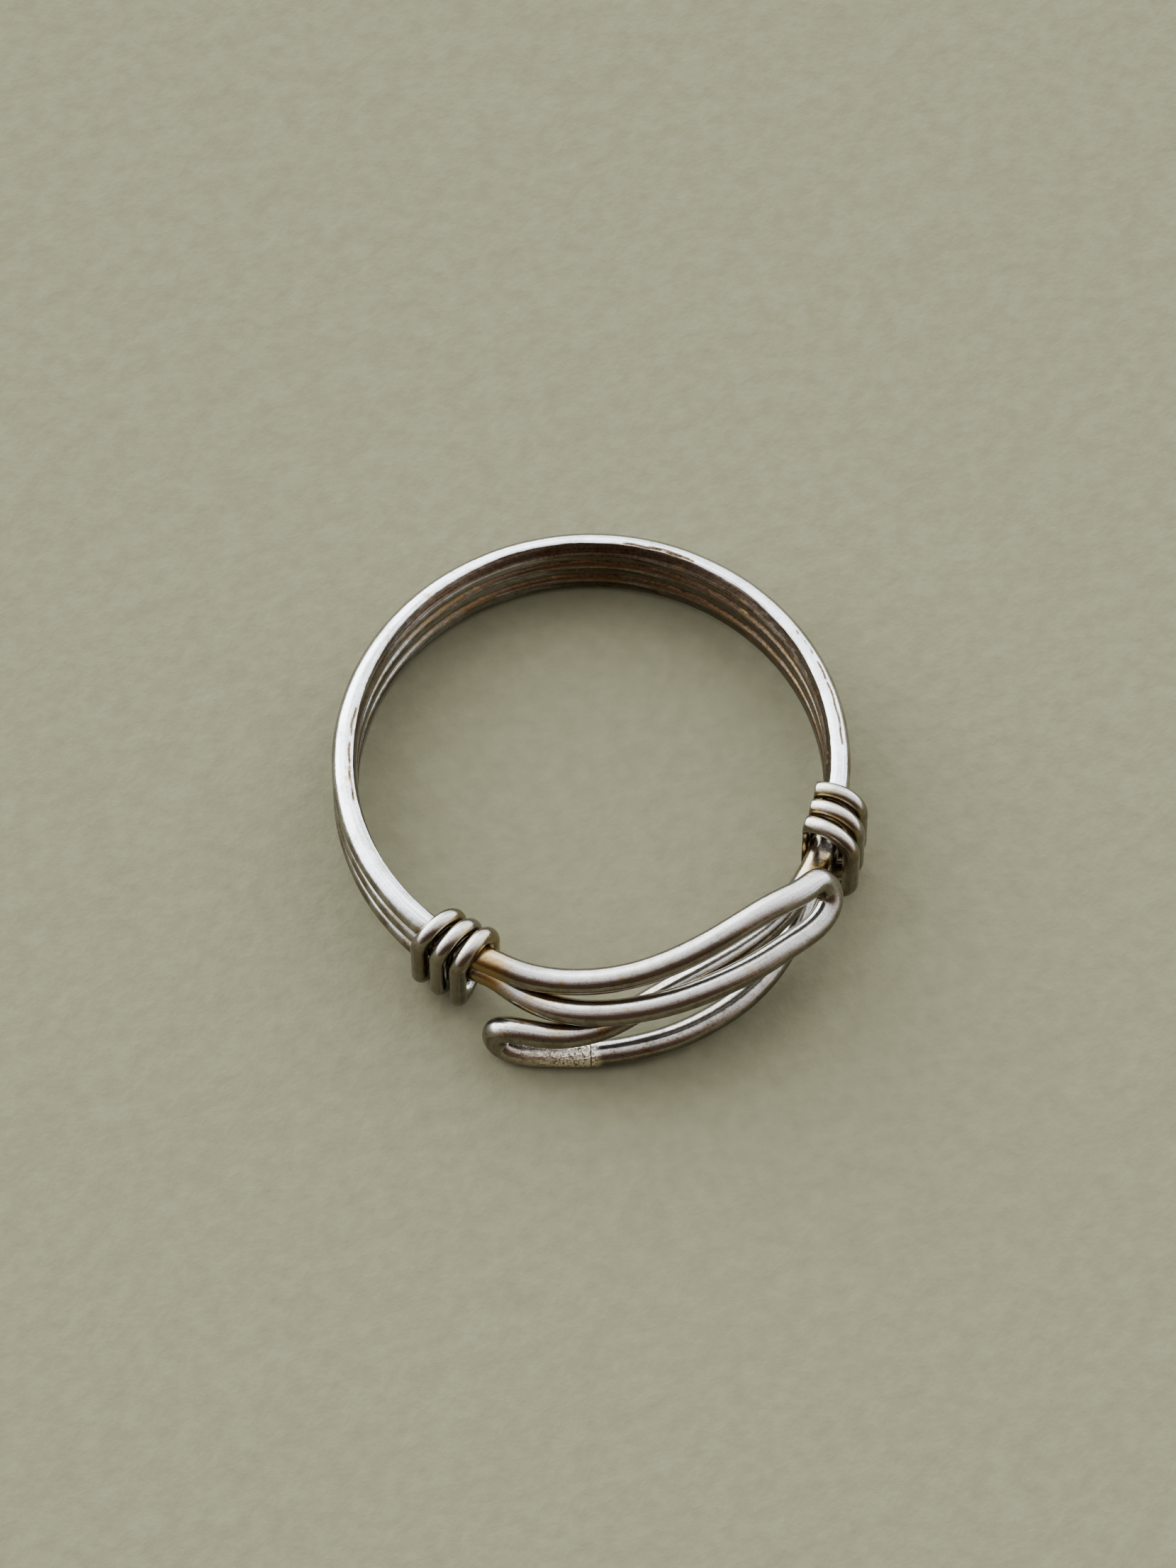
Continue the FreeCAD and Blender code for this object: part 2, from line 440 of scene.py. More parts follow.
    def mesh_object(self) -> bpy.types.Object:
        """Build the mesh object with its marks and its places on the wire.

        Returns:
            The new object, linked to the scene.
        """
        ring, side = np.meshgrid(np.arange(self.rings - 1), np.arange(self.sides), indexing="ij")
        following = (side + 1) % self.sides
        near, far = ring * self.sides, (ring + 1) * self.sides
        quads = np.stack([near + side, near + following, far + following, far + side], axis=-1)
        last = (self.rings - 1) * self.sides
        faces = quads.reshape(-1, 4).tolist()
        faces.append(list(range(self.sides))[::-1])
        faces.append([last + index for index in range(self.sides)])
        mesh = bpy.data.meshes.new(self.name)
        mesh.from_pydata(self.vertices.tolist(), [], faces)
        places = np.column_stack([self.along, self.around]) / MM
        layer = mesh.attributes.new("wire", "FLOAT_VECTOR", "POINT")
        layer.data.foreach_set("vector", places.astype(np.float32).ravel())
        for mark, values in self.marks.items():
            layer = mesh.attributes.new(mark, "FLOAT", "POINT")
            layer.data.foreach_set("value", values.astype(np.float32))
        mesh.shade_smooth()
        mesh.validate()
        mesh.update()
        made = bpy.data.objects.new(self.name, mesh)
        bpy.context.scene.collection.objects.link(made)
        return made


# ---- shader nodes ---------------------------------------------------------------


def linear(colour: str) -> tuple[float, float, float, float]:
    """Linear colour of an sRGB hex value.

    Args:
        colour: The value, with its leading sign.

    Returns:
        Red, green, blue and an opaque alpha.
    """
    values = [int(colour[place:place + 2], 16) / 255 for place in (1, 3, 5)]
    red, green, blue = (value / 12.92 if value <= 0.04045 else ((value + 0.055) / 1.055) ** 2.4
                        for value in values)
    return (red, green, blue, 1.0)


def add_node(tree: bpy.types.NodeTree, kind: str, settings: dict[str, object] | None = None,
             inputs: dict[str | int, object] | None = None) -> bpy.types.Node:
    """Add a node with its settings, and set or link its inputs.

    Args:
        tree: Node tree to add to.
        kind: Blender's name of the node type.
        settings: Properties of the node.
        inputs: Value, socket to link, or node whose first output is linked, for each input.

    Returns:
        The new node.
    """
    node = tree.nodes.new(kind)
    for name, value in (settings or {}).items():
        setattr(node, name, value)
    for name, value in (inputs or {}).items():
        if isinstance(value, bpy.types.Node):
            value = next(output for output in value.outputs if output.enabled)
        if isinstance(value, bpy.types.NodeSocket):
            tree.links.new(value, node.inputs[name])
        else:
            node.inputs[name].default_value = value
    return node


# ---- finishes -------------------------------------------------------------------


@dataclass(frozen=True)
class DrawnSterling:
    """Sterling silver wire pulled through a draw plate and then handled for years.

    The plate leaves fine lines along the wire, which stretch the reflections lengthwise,
    and handling leaves shallow dings that break their edges.  Fingers keep the crowns
    bright.  A grey film grows on the sides and undersides, partly tarnish and partly
    painted shade on the faces turned from the light.  Gold tarnish grows where wires
    shelter each other; the brown there and the black in the creases are painted shade
    where the wires meet, over some dark patina.
    """

    name: str = "drawn_sterling"
    polished: str = "#989286"
    film: str = "#6F675A"
    brown: str = "#54412D"
    dark: str = "#2B2118"
    black: str = "#120D0A"
    gold: str = "#8A7144"
    solder: str = "#F0E4CA"
    roughness: float = 0.18
    worn_roughness: float = 0.38
    # The crease, side, shelter, dull, filed and edge weights below paint shade as well as tarnish.
    crease_patina_and_shade: float = 1.0
    side_patina_and_shade: float = 0.22
    skin_tarnish: float = 0.12
    streak_tarnish: float = 0.20
    shelter_patina_and_shade: float = 0.0
    dull_patina_and_shade: float = 0.0
    filed_patina_and_shade: float = 0.0
    edge_patina_and_shade: float = 0.0
    sheltered_gold: float = 0.8
    pitting: float = 0.3

    def weather(self, tube: WireTube) -> None:
        """Work out how dark, from tarnish and from painted shade, and how golden each place of a
        wire is.

        Args:
            tube: The wire, with its marks of shape and wear.
        """
        marks = tube.marks
        cloud = 0.6 * ripple(tube.vertices, 1.6 * MM, 3) + 0.4 * ripple(tube.vertices, 0.5 * MM, 4)
        # Streaks 30 times as long as they are wide, as a file and a draw plate leave them.
        lengthwise = np.column_stack([tube.along / 30.0, tube.around])
        bands = 0.6 * ripple(lengthwise, 0.30 * MM, 5) + 0.4 * ripple(lengthwise, 0.12 * MM, 6)
        # Black in the creases: painted shade where the wires meet, over some dark patina.
        tarnish = self.crease_patina_and_shade * smooth_step(marks["crease"], 0.22, 0.85)
        # Darker inside at the right of the ring: partly tarnish, partly painted shade for the
        # shaded wall and floor that it reflects.
        tarnish += self.dull_patina_and_shade * tube.mark("dull_and_shaded") * (0.6 + 0.4 * bands)
        # Grey film on the sides and undersides: partly tarnish where no cloth rubs, partly painted
        # shade on the faces turned from the light.
        unrubbed_and_shaded = marks["unrubbed_and_shaded"] * (1.0 - 0.85 * tube.mark("filed"))
        tarnish += self.side_patina_and_shade * unrubbed_and_shaded * (0.65 + 0.35 * smooth_step(cloud, 0.30, 0.65))
        tarnish += self.skin_tarnish * smooth_step(0.5 * cloud + 0.5 * bands, 0.42, 0.72)
        # Brown beside other wires: painted shade between the wires, over some patina.
        tarnish += self.shelter_patina_and_shade * smooth_step(marks["shelter"], 0.55, 0.80)
        # The filed side and the rubbed flat are darkened: partly tarnish, partly painted reflection
        # of the shaded inside of the ring.
        filed = self.filed_patina_and_shade * tube.mark("filed")
        filed *= 0.10 + 0.90 * smooth_step(bands, 0.45, 0.80)
        edge = self.edge_patina_and_shade * tube.mark("edge")
        edge *= 0.30 + 0.70 * smooth_step(bands, 0.30, 0.75)
        tarnish = np.maximum(tarnish + np.maximum(filed, edge), 0.8 * tube.mark("cut"))
        # Gold grows where the wire is sheltered but not yet brown, and in a few small spots.
        cloudy = 0.15 + 0.85 * smooth_step(cloud, 0.40, 0.62)
        gold = self.sheltered_gold * smooth_step(marks["shelter"], 0.22, 0.85)
        gold *= cloudy * (1.0 - smooth_step(tarnish, 0.45, 0.85))
        mouth = 0.95 * tube.mark("mouth") * (0.6 + 0.4 * smooth_step(cloud, 0.30, 0.60))
        spots = 0.6 * smooth_step(ripple(tube.vertices, 0.45 * MM, 8), 0.90, 0.98)
        gold = np.maximum(np.maximum(gold, mouth), spots)
        # This value is tarnish together with painted shade.
        marks["tarnish"] = np.clip(tarnish, 0.0, 1.0)
        marks["gold"] = np.clip(gold, 0.0, 1.0)

    def material(self) -> bpy.types.Material:
        """Build the node material.

        Returns:
            The material.
        """
        material = bpy.data.materials.new(self.name)
        material.use_nodes = True
        tree = material.node_tree
        shader = tree.nodes["Principled BSDF"]
        shader.inputs["Metallic"].default_value = 1.0
        surface = self._patterns(tree)
        for mark in ("tarnish", "gold", "filed", "grain"):
            node = add_node(tree, "ShaderNodeAttribute", {"attribute_name": mark})
            surface[mark] = node.outputs["Fac"]
        for name, work_out in (("Base Color", self._colour), ("Roughness", self._roughness),
                               ("Normal", self._relief)):
            tree.links.new(work_out(tree, surface), shader.inputs[name])
        return material

    @staticmethod
    def _patterns(tree: bpy.types.NodeTree) -> Sockets:
        """The fine patterns of the surface, each at its size in millimetres.

        Args:
            tree: Node tree of the material.

        Returns:
            The output socket of each pattern, by name.
        """
        wire = add_node(tree, "ShaderNodeAttribute", {"attribute_name": "wire"}).outputs["Vector"]
        place = add_node(tree, "ShaderNodeTexCoord").outputs["Object"]
        found = {}
        # Real draw lines are about 0.01 mm apart, too fine to show, so they are drawn at 0.05 mm.
        # File strokes are really about 0.03 mm apart, and are drawn at 0.06 mm.
        rows = (("lines", 5.0, 0.05, 0.0), ("bands", 6.0, 0.16, 0.0), ("strokes", 0.8, 0.06, 32.0))
        for name, along, across, lean in rows:
            leaned = add_node(tree, "ShaderNodeMapping", None,
                              {"Vector": wire, "Rotation": (0.0, 0.0, math.radians(lean))})
            scaled = add_node(tree, "ShaderNodeMapping", None,
                              {"Vector": leaned, "Scale": (1 / along, 1 / across, 1 / across)})
            inputs = {"Vector": scaled, "Scale": 1.0, "Detail": 3.0, "Roughness": 0.6}
            found[name] = add_node(tree, "ShaderNodeTexNoise", None, inputs).outputs["Fac"]
        for name, size in (("speckle", 0.10), ("dings", 0.45)):
            inputs = {"Vector": place, "Scale": 1 / (size * MM), "Detail": 3.0, "Roughness": 0.6}
            found[name] = add_node(tree, "ShaderNodeTexNoise", None, inputs).outputs["Fac"]
        return found

    def _colour(self, tree: bpy.types.NodeTree, surface: Sockets) -> bpy.types.NodeSocket:
        """Colour from rubbed silver through grey film and brown to black, golden where sheltered;
        the darkening carries both tarnish and painted shade.

        Args:
            tree: Node tree of the material.
            surface: Marks and patterns of the surface.

        Returns:
            The socket of the colour.
        """
        broken = add_node(tree, "ShaderNodeMapRange", None, {
            "Value": surface["speckle"], "From Min": 0.30, "From Max": 0.65,
            "To Min": 0.65, "To Max": 1.05})
        # The tarnish value darkens the ramp for real patina and for painted shade alike.
        share = add_node(tree, "ShaderNodeMath", {"operation": "MULTIPLY"},
                         {0: surface["tarnish"], 1: broken})
        streaks = add_node(tree, "ShaderNodeMapRange", None, {
            "Value": surface["lines"], "From Min": 0.46, "From Max": 0.72,
            "To Max": self.streak_tarnish})
        share = add_node(tree, "ShaderNodeMath", {"operation": "ADD"}, {0: share, 1: streaks})
        silver = add_node(tree, "ShaderNodeValToRGB", None, {"Fac": share})
        stops = silver.color_ramp.elements
        stops[0].color = linear(self.polished)
        stops[1].color = linear(self.black)
        for place, colour in ((0.26, self.film), (0.55, self.brown), (0.80, self.dark)):
            stops.new(place).color = linear(colour)
        pits, grit = (
            add_node(tree, "ShaderNodeMapRange", {"interpolation_type": "SMOOTHSTEP"}, {
                "Value": surface["speckle"], "From Min": low, "From Max": high, "To Max": most})
            for low, high, most in ((0.52, 0.70, self.pitting), (0.50, 0.60, 0.9)))
        pale, grainy = (
            add_node(tree, "ShaderNodeMath", {"operation": "MULTIPLY"},
                     {0: surface["grain"], 1: part}) for part in (0.9, grit))
        colour = silver
        layers = ((surface["gold"], self.gold), (pits, self.dark), (pale, self.solder),
                  (grainy, self.brown))
        # Inputs 6 and 7 of a mix node are its two colours, and output 2 is the mixed colour.
        for share, over in layers:
            colour = add_node(tree, "ShaderNodeMix", {"data_type": "RGBA"},
                              {0: share, 6: colour, 7: linear(over)})
        return colour.outputs[2]

    def _roughness(self, tree: bpy.types.NodeTree, surface: Sockets) -> bpy.types.NodeSocket:
        """Roughness: low where rubbed bright, higher on tarnish and painted shade, file marks, draw
        lines and grain.

        Args:
            tree: Node tree of the material.
            surface: Marks and patterns of the surface.

        Returns:
            The socket of the roughness.
        """
        grain = add_node(tree, "ShaderNodeMath", {"operation": "MULTIPLY"},
                         {0: surface["grain"], 1: 0.6})
        wear = surface["tarnish"]
        for other in (surface["filed"], grain):
            wear = add_node(tree, "ShaderNodeMath", {"operation": "MAXIMUM"}, {0: wear, 1: other})
        drawn = add_node(tree, "ShaderNodeMapRange", None, {
            "Value": surface["lines"], "From Min": 0.45, "From Max": 0.75, "To Max": 0.35})
        total = add_node(tree, "ShaderNodeMath", {"operation": "ADD"}, {0: wear, 1: drawn})
        spread = add_node(tree, "ShaderNodeMapRange", None, {
            "Value": total, "To Min": self.roughness, "To Max": self.worn_roughness})
        return spread.outputs["Result"]

    @staticmethod
    def _relief(tree: bpy.types.NodeTree, surface: Sockets) -> bpy.types.NodeSocket:
        """Relief of the draw lines, dings, file strokes and grain, with depths in millimetres.

        Args:
            tree: Node tree of the material.
            surface: Marks and patterns of the surface.

        Returns:
            The socket of the surface direction.
        """
        strokes, grit = (
            add_node(tree, "ShaderNodeMath", {"operation": "MULTIPLY"},
                     {0: surface[pattern], 1: surface[mark]})
            for pattern, mark in (("strokes", "filed"), ("speckle", "grain")))
        layers = ((surface["lines"], 0.0030, 0.6), (surface["bands"], 0.0070, 0.6),
                  (surface["dings"], 0.016, 0.6), (strokes, 0.012, 0.7), (grit, 0.05, 0.9))
        relief = None
        for height, depth, strength in layers:
            inputs = {"Height": height, "Distance": depth * MM, "Strength": strength}
            if relief is not None:
                inputs["Normal"] = relief
            relief = add_node(tree, "ShaderNodeBump", None, inputs)
        return relief.outputs["Normal"]


@dataclass(frozen=True)
class FiledSterling(DrawnSterling):
    """Drawn sterling filed on the finger side, its upper inner edge rubbed off in wear.

    The crown is the brightest silver of the ring, with lengthwise streaks.  The filed
    inside and the rubbed flat are dull and darkened, partly tarnish and partly painted
    reflection of the shaded inside of the ring, with brown and gold streaks between the
    wires, and the inside reads as one wall.
    """

    name: str = "filed_sterling"
    polished: str = "#BDB9B0"
    roughness: float = 0.15
    crease_patina_and_shade: float = 0.9
    shelter_patina_and_shade: float = 0.5
    dull_patina_and_shade: float = 0.42
    skin_tarnish: float = 0.10
    filed_patina_and_shade: float = 0.45
    edge_patina_and_shade: float = 0.40
    sheltered_gold: float = 0.45


@dataclass(frozen=True)
class SolderedSterling(DrawnSterling):
    """Drawn sterling heated for soldering, its scale only partly rubbed off.

    It is rougher than the other wires, pitted, and grainy beside the solder.
    """

    name: str = "soldered_sterling"
    roughness: float = 0.19
    skin_tarnish: float = 0.16
    pitting: float = 0.5


@dataclass(frozen=True)
class CoiledSterling(DrawnSterling):
    """Drawn sterling coiled tight round other wires by hand.

    The crowns of the turns are rubbed bright.  Gold tarnish fills the gaps between
    them, where no cloth reaches, and the brown and black there are painted shade, over some patina.
    """

    name: str = "coiled_sterling"
    gold: str = "#8C7A54"
    skin_tarnish: float = 0.14
    # Darkening of the filed inside: partly tarnish, partly painted shade.
    filed_patina_and_shade: float = 0.2
    sheltered_gold: float = 0.85


@dataclass(frozen=True)
class WoolFelt:
    """Pale beige wool felt, pressed flat: matte all over, with a faint cloudy nap."""

    name: str = "wool_felt"
    colour: str = "#5E5942"
    shade: str = "#4D4833"

    def material(self) -> bpy.types.Material:
        """Build the node material.

        Returns:
            The material.
        """
        material = bpy.data.materials.new(self.name)
        material.use_nodes = True
        tree = material.node_tree
        shader = tree.nodes["Principled BSDF"]
        shader.inputs["Roughness"].default_value = 0.95
        shader.inputs["Specular IOR Level"].default_value = 0.1
        coords = add_node(tree, "ShaderNodeTexCoord").outputs["Object"]
        nap = add_node(tree, "ShaderNodeTexNoise", None,
                       {"Vector": coords, "Scale": 1 / (0.7 * MM), "Detail": 5.0, "Roughness": 0.6})
        colour = add_node(tree, "ShaderNodeMix", {"data_type": "RGBA"},
                          {0: nap, 6: linear(self.shade), 7: linear(self.colour)})
        tree.links.new(colour.outputs[2], shader.inputs["Base Color"])
        relief = add_node(tree, "ShaderNodeBump", None,
                          {"Height": nap, "Distance": 0.12 * MM, "Strength": 0.5})
        tree.links.new(relief.outputs["Normal"], shader.inputs["Normal"])
        return material


# ---- sub-assemblies -------------------------------------------------------------


def dress(tube: WireTube, node: str, body: Body, finish: DrawnSterling) -> None:
    """Build a tube's object, in place of its plain solid.

    Args:
        tube: The wire.
        node: Name of the solid that it stands for.
        body: Body that it rides on.
        finish: Its finish.
    """
    finish.weather(tube)
    piece = tube.mesh_object()
    piece.data.materials.append(bpy.data.materials.get(finish.name) or finish.material())
    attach(piece, body.value)
    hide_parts(node)
    LOG.info("%s: %d faces, stands for %s, rides on %s",
             piece.name, len(piece.data.polygons), node, body.value)


@dataclass
class Shank:
    """The three wires round the back of the finger, filed and worn on the inside.

    Rows of wear are the place in degrees from the front centre, and where the rubbed
    flat begins and faces, in degrees from the top of the wire toward the finger.
    Rows of the darker inside are such a place, and how dark the inside is painted there:
    partly tarnish, partly painted shade for the shaded wall and floor that it reflects.
    Rows of wobbles are the height, length and seed of the rubbed flat's unevenness.
    Scratches are their two ends, in degrees from the front centre, and their tilt on the wire.
    """

    measures: RingMeasures
    step: float = 0.07 * MM
    wear: tuple[tuple[float, float, float], ...] = (
        (53.0, 30.0, 68.0), (90.0, 24.0, 62.0), (140.0, 14.0, 52.0), (180.0, 10.0, 48.0),
        (215.0, 20.0, 58.0), (245.0, 36.0, 72.0), (307.0, 44.0, 80.0),
    )
    # Darker inside by place: partly tarnish, partly painted shade.
    dull_and_shaded: tuple[tuple[float, float], ...] = (
        (53.0, 1.0), (110.0, 1.0), (160.0, 0.25), (185.0, 0.0), (307.0, 0.0),
    )
    wobbles: tuple[tuple[float, float, int], ...] = ((0.020 * MM, 3.5 * MM, 5),
                                                     (0.008 * MM, 0.5 * MM, 6))
    own_skip: float = 40.0 * MM
    sides: int = 56
    rubbed_sides: int = 96
    levels: tuple[tuple[str, int], ...] = (("top", 1), ("middle", 0), ("bottom", -1))
    scratches: tuple[tuple[tuple[float, float], float], ...] = (
        ((134.0, 152.0), 8.0), ((137.0, 146.0), 3.0), ((72.0, 104.0), -22.0),
        ((236.0, 262.0), 20.0),
    )
    scratch_width: float = 0.09 * MM
    scratch_depth: float = 0.018 * MM

    def line(self, level: int) -> np.ndarray:
        """Centre line of one wire, from the right binding round the back to the left one.

        Args:
            level: 1 for the top wire, 0 for the middle one and -1 for the bottom one.

        Returns:
            Points on the line, one row each.
        """
        ring = self.measures
        start = ring.binding_angle + ring.butt_angle
        count = int(math.radians(360 - 2 * start) * ring.shank_radius / self.step)
        angles = np.linspace(start, 360.0 - start, count)
        return np.array([ring.place(angle, 0.0, level * ring.level) for angle in angles])

    def tube(self, name: str, level: int) -> WireTube:
        """One wire, its inner side filed, and the top one's upper inner edge rubbed flat.

        Args:
            name: Name of its level.
            level: 1 for the top wire, 0 for the middle one and -1 for the bottom one.

        Returns:
            The wire.
        """
        ring = self.measures
        sides = self.rubbed_sides if level == 1 else self.sides
        tube = WireTube(f"shank_{name}_wire", self.line(level), ring.wire_radius, sides, 11 + level)
        tube.press_outside(ring.finger_radius, "filed")
        if level == 1:
            self._rub_edge(tube)
            for angles, tilt in self.scratches:
                tube.scratch(angles, tilt, self.scratch_width, self.scratch_depth)
        return tube

    def _rub_edge(self, tube: WireTube) -> None:
        """Rub a flat on the upper inner edge, where the finger goes in.

        Args:
            tube: The top wire.
        """
        ring = self.measures
        places, starts, tilts = np.array(self.wear).T
        start = np.radians(np.interp(tube.turn(), places, starts))
        tilt = np.radians(np.interp(tube.turn(), places, tilts))
        inward = -unit(tube.vertices[:, :2])
        normals = np.column_stack([inward * np.sin(tilt)[:, None], np.cos(tilt)])
        centres = np.column_stack([-inward * ring.shank_radius, np.full(len(inward), ring.level)])
        reach = ring.wire_radius * np.cos(tilt - start)
        wobble = sum(height * (ripple(tube.vertices, length, seed) - 0.5)
                     for height, length, seed in self.wobbles)
        offsets = np.einsum("ij,ij->i", centres, normals) + reach + wobble
        tube.shave(normals, offsets, "edge")

    def build(self, others: list[Wire], finish: DrawnSterling) -> None:
        """Build the three wires.

        Args:
            others: The wires outside the shank.
            finish: The finish.
        """
        for name, level in self.levels:
            tube = self.tube(name, level)
            near = [(self.line(other), self.measures.wire_radius)
                    for _, other in self.levels if other != level]
            tube.mark_creases(near + others, self.own_skip)
            inside = np.einsum("ij,ij->i", tube.outward[:, :2], -unit(tube.vertices[:, :2]))
            # Painted shade, with some tarnish, on the inside at the right of the ring.
            dull_and_shaded = np.interp(tube.turn(), *np.array(self.dull_and_shaded).T)
            tube.marks["dull_and_shaded"] = smooth_step(inside, 0.38, 0.55) * dull_and_shaded
            # The inner sides of the lower wires get the same mark, partly unrubbed film and partly
            # painted shade.
            if level < 1:
                tube.add_mark("unrubbed_and_shaded", smooth_step(inside, 0.0, 0.5))
            dress(tube, f"shank_wire_{name}", Body.RING, finish)


@dataclass
class Hairpin:
    """A loop of wire bent back on itself, both its ends held in one binding.

    Leg points are (share of the mouth angle from the front centre, outward, height)
    and a bend is (share, outward, height, radius, lean), with lengths in wire
    diameters and the lean in degrees.
    """

    measures: RingMeasures
    side: Side
    first_level: int
    last_level: int
    first_leg: tuple[Place, ...]
    bend: tuple[float, float, float, float, float]
    last_leg: tuple[Place, ...]
    step: float = 0.07 * MM
    bend_steps: int = 4
    sides: int = 56
    own_skip: float = 3.0 * MM

    def line(self) -> np.ndarray:
        """Centre line of the whole loop.

        Returns:
            Points on the line, one row each.
        """
        points = self._bound(self.first_level)[::-1]
        points += [self._leg_point(*point) for point in self.first_leg]
        points += self._bend_points()
        points += [self._leg_point(*point) for point in self.last_leg]
        points += self._bound(self.last_level)
        return smooth_line(np.array(points), self.step)

    def _leg_point(self, share: float, outward: float, height: float) -> np.ndarray:
        """Point of a leg.

        Args:
            share: Share of the mouth angle, from the front centre.
            outward: Wire diameters outward from the centre line of the shank.
            height: Wire diameters above the middle wire.

        Returns:
            The point, in metres.
        """
        ring = self.measures
        diameter = 2 * ring.wire_radius
        return ring.place(share * ring.mouth_angle, outward * diameter, height * diameter)

    def _bound(self, level: int) -> list[np.ndarray]:
        """The straight end of a leg inside the binding, from the mouth inward.

        Args:
            level: Level of the shank wire that it meets.

        Returns:
            Its points, in metres.
        """
        ring = self.measures
        end = ring.binding_angle - ring.butt_angle
        angles = (ring.mouth_angle, (ring.mouth_angle + end) / 2, end)
        return [ring.place(self.side.value * angle, 0.0, level * ring.level) for angle in angles]

    def _bend_points(self) -> list[np.ndarray]:
        """Half circle from one leg to the other.

        Returns:
            Its points, in metres.
        """
        share, outward, height, radius, lean = self.bend
        ring = self.measures
        diameter = 2 * ring.wire_radius
        lean = math.radians(lean)
        points = []
        for swing in np.linspace(0.0, math.pi, self.bend_steps + 1):
            across = radius * math.cos(swing)
            out = (outward + across * math.sin(lean)) * diameter
            up = (height + across * math.cos(lean)) * diameter
            along = radius * math.sin(swing) * diameter / (ring.shank_radius + out)
            angle = share * ring.mouth_angle - self.side.value * math.degrees(along)
            points.append(ring.place(angle, out, up))
        return points


@dataclass
class UpperLoop(Hairpin):
    """Hairpin of the left binding, which rises over the front of the ring."""

    side: Side = Side.LEFT
    first_level: int = 1
    last_level: int = 0
    first_leg: tuple[Place, ...] = (
        (-0.87, 0.04, 0.93), (-0.68, 0.05, 0.90), (-0.48, 0.08, 1.10), (-0.23, 0.10, 1.45),
        (0.00, 0.10, 1.85), (0.23, 0.12, 2.20), (0.46, 0.24, 2.39), (0.59, 0.43, 2.36),
    )
    bend: tuple[float, float, float, float, float] = (0.745, 1.14, 1.53, 0.76, -32.0)
    last_leg: tuple[Place, ...] = (
        (0.56, 1.42, 0.92), (0.39, 1.30, 0.93), (0.16, 1.20, 0.88), (-0.07, 1.12, 0.68),
        (-0.27, 1.05, 0.48), (-0.48, 0.95, 0.28), (-0.68, 0.68, 0.05), (-0.87, 0.25, -0.05),
    )

    def build(self, others: list[Wire], finish: DrawnSterling) -> None:
        """Build the loop.

        Args:
            others: The other wires.
            finish: The finish.
        """
        ring = self.measures
        tube = WireTube("upper_hairpin_wire", self.line(), ring.wire_radius, self.sides, 21)
        tube.mark_creases(others, self.own_skip)
        tube.mark_mouth(self.side, ring.mouth_angle)
        dress(tube, "upper_loop", Body.RING, finish)


@dataclass
class LowerLoop(Hairpin):
    """Hairpin of the right binding, made of two wires soldered end to end in its front leg."""

    side: Side = Side.RIGHT
    first_level: int = -1
    last_level: int = 0
    first_leg: tuple[Place, ...] = (
        (0.87, 0.12, -1.20), (0.71, 0.35, -1.50), (0.45, 0.75, -1.85), (0.18, 1.05, -1.95),
        (-0.07, 1.25, -2.00), (-0.27, 1.35, -2.05), (-0.48, 1.45, -2.08), (-0.66, 1.55, -2.08),
    )
    bend: tuple[float, float, float, float, float] = (-0.815, 1.62, -1.38, 0.73, 176.0)
    last_leg: tuple[Place, ...] = (
        (-0.65, 1.47, -0.72), (-0.42, 1.07, -0.68), (-0.18, 0.45, -0.36), (0.04, 0.20, 0.08),
        (0.27, 0.10, 0.22), (0.52, 0.05, 0.10), (0.87, 0.00, 0.00),
    )
    seam_share: float = 0.39
    seam_gap: float = 0.02 * MM
    seam_round: float = 0.05 * MM
    hairpin_grain: float = 3.4 * MM
    leg_grain: float = 3.4 * MM / 8

    def build(self, others: list[Wire], finish: DrawnSterling) -> None:
        """Build the leg and the hairpin, with the grainy solder at their seam.

        Args:
            others: The other wires.
            finish: The finish.
        """
        line = self.line()
        length = line_length(line)[-1]
        seam = length * self.seam_share
        parts = (
            ("lower_front_leg_wire", "lower_loop_leg", 0.0, seam - self.seam_gap / 2,
             self.leg_grain, 31),
            ("lower_hairpin_wire", "lower_loop_hairpin", seam + self.seam_gap / 2, length,
             self.hairpin_grain, 32),
        )
        for name, node, start, end, grain, seed in parts:
            places = np.linspace(start, end, int((end - start) / self.step))
            tube = WireTube(name, points_at(line, places), self.measures.wire_radius,
                            self.sides, seed, end_round=self.seam_round)
            tube.mark_creases(others, self.own_skip)
            tube.mark_mouth(self.side, self.measures.mouth_angle)
            from_seam = np.abs(tube.along + start - seam)
            tube.marks["grain"] = np.clip(1.4 - 1.4 * from_seam / grain, 0.0, 1.0)
            dress(tube, node, Body.RING, finish)


